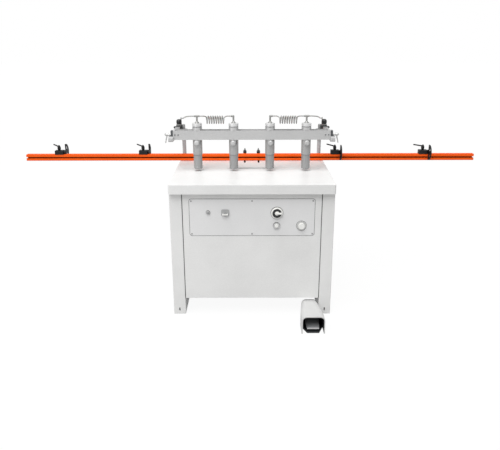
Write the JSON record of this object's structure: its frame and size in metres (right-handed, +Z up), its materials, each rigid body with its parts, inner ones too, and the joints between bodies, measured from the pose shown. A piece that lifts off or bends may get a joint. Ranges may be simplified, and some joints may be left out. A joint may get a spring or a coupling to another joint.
{
  "type": "multi-spindle boring machine",
  "caption": "Floor-standing panel boring machine: spindles under a slotted table, a pneumatic hold-down bridge, a long fence with flip stops and a guarded foot switch.",
  "frame": {"origin": "on the floor, at the centre of the four anchor holes", "axes": "+X to the operator's right along the fence, +Y to the back, +Z up"},
  "size_m": [3.275, 1.103, 1.2755],
  "materials": {
    "body_paint": "light grey powder coat, fine texture",
    "table_paint": "off-white enamel on cast iron",
    "control_plate": "smooth grey enamel plate",
    "bridge_paint": "satin grey enamel",
    "inner_steel": "dark grey primer on steel tube and plate",
    "bright_steel": "ground and lightly oiled",
    "plated_steel": "zinc and nickel plating",
    "cylinder_aluminium": "turned aluminium",
    "fence_orange": "orange anodised extrusion",
    "carriage_paint": "charcoal enamel",
    "charcoal_plastic": "glass-filled nylon, fine grain",
    "black_plastic": "moulded black plastic",
    "white_plastic": "moulded white plastic",
    "hood_plastic": "moulded light grey plastic",
    "hose_plastic": "translucent pale polyurethane tube",
    "head_iron": "machined grey iron",
    "motor_paint": "blue-grey motor enamel"
  },
  "bodies": {
    "machine_frame": {"side_frame_left": "body_paint", "side_frame_right": "body_paint", "front_panel": "body_paint", "rear_panel": "body_paint", "frame_rails": "inner_steel", "control_panel": "control_plate", "panel_screws": "plated_steel", "switch_bezels": "black_plastic", "table_top": "table_paint", "columns": "bright_steel", "feed_unit": "inner_steel", "foot_switch_base": "black_plastic", "foot_switch_hood": "hood_plastic"},
    "treadle": {"foot_treadle": "black_plastic"},
    "main_switch": {"main_switch_handle": "black_plastic"},
    "start_button": {"start_button": "white_plastic"},
    "selector": {"selector_knob": "white_plastic"},
    "dial": {"dial_knob": "white_plastic"},
    "head": {"boring_head": "head_iron", "drive_motor": "motor_paint"},
    "bridge": {"bridge_beam": "bridge_paint", "bridge_arms": "bridge_paint", "presser_cylinders": "cylinder_aluminium", "presser_clamp_screws": "plated_steel", "air_fittings": "plated_steel", "regulator_bodies": "black_plastic", "coil_hose_left": "hose_plastic", "coil_hose_right": "hose_plastic", "supply_hose_left": "hose_plastic", "supply_hose_right": "hose_plastic"},
    "rams": {"presser_rams": "bright_steel"},
    "fence": {"fence_rail": "fence_orange", "fence_carriage": "carriage_paint"},
    "spindle_1": {"spindle_1": "bright_steel"},
    "spindle_2": {"spindle_2": "bright_steel"},
    "spindle_3": {"spindle_3": "bright_steel"},
    "spindle_4": {"spindle_4": "bright_steel"},
    "spindle_5": {"spindle_5": "bright_steel"},
    "spindle_6": {"spindle_6": "bright_steel"},
    "spindle_7": {"spindle_7": "bright_steel"},
    "spindle_8": {"spindle_8": "bright_steel"},
    "spindle_9": {"spindle_9": "bright_steel"},
    "bridge_clamp_left": {"bridge_clamp_left": "bright_steel"},
    "regulator_knob_left": {"regulator_knob_left": "black_plastic"},
    "fence_lever_left": {"fence_lever_left": "charcoal_plastic"},
    "bridge_clamp_right": {"bridge_clamp_right": "bright_steel"},
    "regulator_knob_right": {"regulator_knob_right": "black_plastic"},
    "fence_lever_right": {"fence_lever_right": "charcoal_plastic"},
    "stop_block_1": {"stop_block_1": "charcoal_plastic"},
    "stop_arm_1": {"stop_arm_1": "charcoal_plastic"},
    "stop_lever_1": {"stop_lever_1": "charcoal_plastic"},
    "stop_block_2": {"stop_block_2": "charcoal_plastic"},
    "stop_arm_2": {"stop_arm_2": "charcoal_plastic"},
    "stop_lever_2": {"stop_lever_2": "charcoal_plastic"},
    "stop_block_3": {"stop_block_3": "charcoal_plastic"},
    "stop_arm_3": {"stop_arm_3": "charcoal_plastic"},
    "stop_lever_3": {"stop_lever_3": "charcoal_plastic"},
    "stop_block_4": {"stop_block_4": "charcoal_plastic"},
    "stop_arm_4": {"stop_arm_4": "charcoal_plastic"},
    "stop_lever_4": {"stop_lever_4": "charcoal_plastic"}
  },
  "joints": [
    {"name": "treadle_press", "type": "hinge", "parent": "machine_frame", "child": "treadle", "pos_m": [0.383, -0.455, 0.044], "axis": [1, 0, 0], "range_deg": [0, 3.5], "stiffness_Nm_per_rad": 30, "springref_deg": -3.44},
    {"name": "main_switch_turn", "type": "hinge", "parent": "machine_frame", "child": "main_switch", "pos_m": [0.158, -0.4, 0.71], "axis": [0, 1, 0], "range_deg": [-90, 0]},
    {"name": "start_press", "type": "slide", "parent": "machine_frame", "child": "start_button", "axis": [0, 1, 0], "range_m": [0, 0.004], "stiffness_N_per_m": 600, "springref_m": -0.001},
    {"name": "selector_turn", "type": "hinge", "parent": "machine_frame", "child": "selector", "pos_m": [-0.17, -0.4, 0.703], "axis": [0, 1, 0], "range_deg": [-45, 45]},
    {"name": "dial_turn", "type": "hinge", "parent": "machine_frame", "child": "dial", "pos_m": [0.315, -0.4, 0.624], "axis": [0, 1, 0], "range_deg": [-135, 135]},
    {"name": "head_feed", "type": "slide", "parent": "machine_frame", "child": "head", "axis": [0, 0, 1], "range_m": [0, 0.05]},
    {"name": "spindle_1_spin", "type": "hinge", "parent": "head", "child": "spindle_1", "pos_m": [-0.128, 0.035, 0.8], "axis": [0, 0, 1], "continuous": true},
    {"name": "spindle_2_spin", "type": "hinge", "parent": "head", "child": "spindle_2", "pos_m": [-0.096, 0.035, 0.8], "axis": [0, 0, 1], "continuous": true},
    {"name": "spindle_3_spin", "type": "hinge", "parent": "head", "child": "spindle_3", "pos_m": [-0.064, 0.035, 0.8], "axis": [0, 0, 1], "continuous": true},
    {"name": "spindle_4_spin", "type": "hinge", "parent": "head", "child": "spindle_4", "pos_m": [-0.032, 0.035, 0.8], "axis": [0, 0, 1], "continuous": true},
    {"name": "spindle_5_spin", "type": "hinge", "parent": "head", "child": "spindle_5", "pos_m": [0, 0.035, 0.8], "axis": [0, 0, 1], "continuous": true},
    {"name": "spindle_6_spin", "type": "hinge", "parent": "head", "child": "spindle_6", "pos_m": [0.032, 0.035, 0.8], "axis": [0, 0, 1], "continuous": true},
    {"name": "spindle_7_spin", "type": "hinge", "parent": "head", "child": "spindle_7", "pos_m": [0.064, 0.035, 0.8], "axis": [0, 0, 1], "continuous": true},
    {"name": "spindle_8_spin", "type": "hinge", "parent": "head", "child": "spindle_8", "pos_m": [0.096, 0.035, 0.8], "axis": [0, 0, 1], "continuous": true},
    {"name": "spindle_9_spin", "type": "hinge", "parent": "head", "child": "spindle_9", "pos_m": [0.128, 0.035, 0.8], "axis": [0, 0, 1], "continuous": true},
    {"name": "bridge_height", "type": "slide", "parent": "machine_frame", "child": "bridge", "axis": [0, 0, 1], "range_m": [0, 0.035]},
    {"name": "presser_stroke", "type": "slide", "parent": "bridge", "child": "rams", "axis": [0, 0, 1], "range_m": [-0.017, 0.045]},
    {"name": "bridge_clamp_left_turn", "type": "hinge", "parent": "bridge", "child": "bridge_clamp_left", "pos_m": [-0.558, -0.04, 1.147], "axis": [1, 0, 0], "range_deg": [-90, 90]},
    {"name": "regulator_knob_left_turn", "type": "hinge", "parent": "bridge", "child": "regulator_knob_left", "pos_m": [-0.533, 0.37, 1.155], "axis": [0, 0, 1], "range_deg": [-150, 150]},
    {"name": "bridge_clamp_right_turn", "type": "hinge", "parent": "bridge", "child": "bridge_clamp_right", "pos_m": [0.558, -0.04, 1.147], "axis": [1, 0, 0], "range_deg": [-90, 90]},
    {"name": "regulator_knob_right_turn", "type": "hinge", "parent": "bridge", "child": "regulator_knob_right", "pos_m": [0.533, 0.37, 1.155], "axis": [0, 0, 1], "range_deg": [-150, 150]},
    {"name": "fence_shift", "type": "slide", "parent": "machine_frame", "child": "fence", "axis": [0, 1, 0], "range_m": [-0.12, 0.012]},
    {"name": "fence_lever_left_turn", "type": "hinge", "parent": "fence", "child": "fence_lever_left", "pos_m": [-0.05, 0.338, 0.937], "axis": [0, 0, 1], "range_deg": [0, 75]},
    {"name": "fence_lever_right_turn", "type": "hinge", "parent": "fence", "child": "fence_lever_right", "pos_m": [0.05, 0.338, 0.937], "axis": [0, 0, 1], "range_deg": [-75, 0]},
    {"name": "stop_1_slide", "type": "slide", "parent": "fence", "child": "stop_block_1", "axis": [1, 0, 0], "range_m": [-0.19, 0.25]},
    {"name": "stop_1_flip", "type": "hinge", "parent": "stop_block_1", "child": "stop_arm_1", "pos_m": [-1.369, 0.296, 0.9613], "axis": [1, 0, 0], "range_deg": [0, 180]},
    {"name": "stop_1_clamp", "type": "hinge", "parent": "stop_block_1", "child": "stop_lever_1", "pos_m": [-1.409, 0.296, 0.975], "axis": [0, 0, 1], "range_deg": [-61, 60]},
    {"name": "stop_2_slide", "type": "slide", "parent": "fence", "child": "stop_block_2", "axis": [1, 0, 0], "range_m": [-0.2, 0.19]},
    {"name": "stop_2_flip", "type": "hinge", "parent": "stop_block_2", "child": "stop_arm_2", "pos_m": [-0.755, 0.296, 0.9613], "axis": [1, 0, 0], "range_deg": [0, 180]},
    {"name": "stop_2_clamp", "type": "hinge", "parent": "stop_block_2", "child": "stop_lever_2", "pos_m": [-0.795, 0.296, 0.975], "axis": [0, 0, 1], "range_deg": [-54, 60]},
    {"name": "stop_3_slide", "type": "slide", "parent": "fence", "child": "stop_block_3", "axis": [1, 0, 0], "range_m": [-0.02, 0.25]},
    {"name": "stop_3_flip", "type": "hinge", "parent": "stop_block_3", "child": "stop_arm_3", "pos_m": [0.648, 0.296, 0.9613], "axis": [-1, 0, 0], "range_deg": [0, 180]},
    {"name": "stop_3_clamp", "type": "hinge", "parent": "stop_block_3", "child": "stop_lever_3", "pos_m": [0.608, 0.296, 0.975], "axis": [0, 0, 1], "range_deg": [-60, 60]},
    {"name": "stop_4_slide", "type": "slide", "parent": "fence", "child": "stop_block_4", "axis": [1, 0, 0], "range_m": [-0.25, 0.3]},
    {"name": "stop_4_flip", "type": "hinge", "parent": "stop_block_4", "child": "stop_arm_4", "pos_m": [1.292, 0.296, 0.9613], "axis": [-1, 0, 0], "range_deg": [0, 180]},
    {"name": "stop_4_clamp", "type": "hinge", "parent": "stop_block_4", "child": "stop_lever_4", "pos_m": [1.252, 0.296, 0.975], "axis": [0, 0, 1], "range_deg": [-60, 60]}
  ],
  "couplings": [
    {"joint": "spindle_1_spin", "follows": "spindle_5_spin", "ratio": 1},
    {"joint": "spindle_2_spin", "follows": "spindle_5_spin", "ratio": -1},
    {"joint": "spindle_3_spin", "follows": "spindle_5_spin", "ratio": 1},
    {"joint": "spindle_4_spin", "follows": "spindle_5_spin", "ratio": -1},
    {"joint": "spindle_6_spin", "follows": "spindle_5_spin", "ratio": -1},
    {"joint": "spindle_7_spin", "follows": "spindle_5_spin", "ratio": 1},
    {"joint": "spindle_8_spin", "follows": "spindle_5_spin", "ratio": -1},
    {"joint": "spindle_9_spin", "follows": "spindle_5_spin", "ratio": 1}
  ]
}
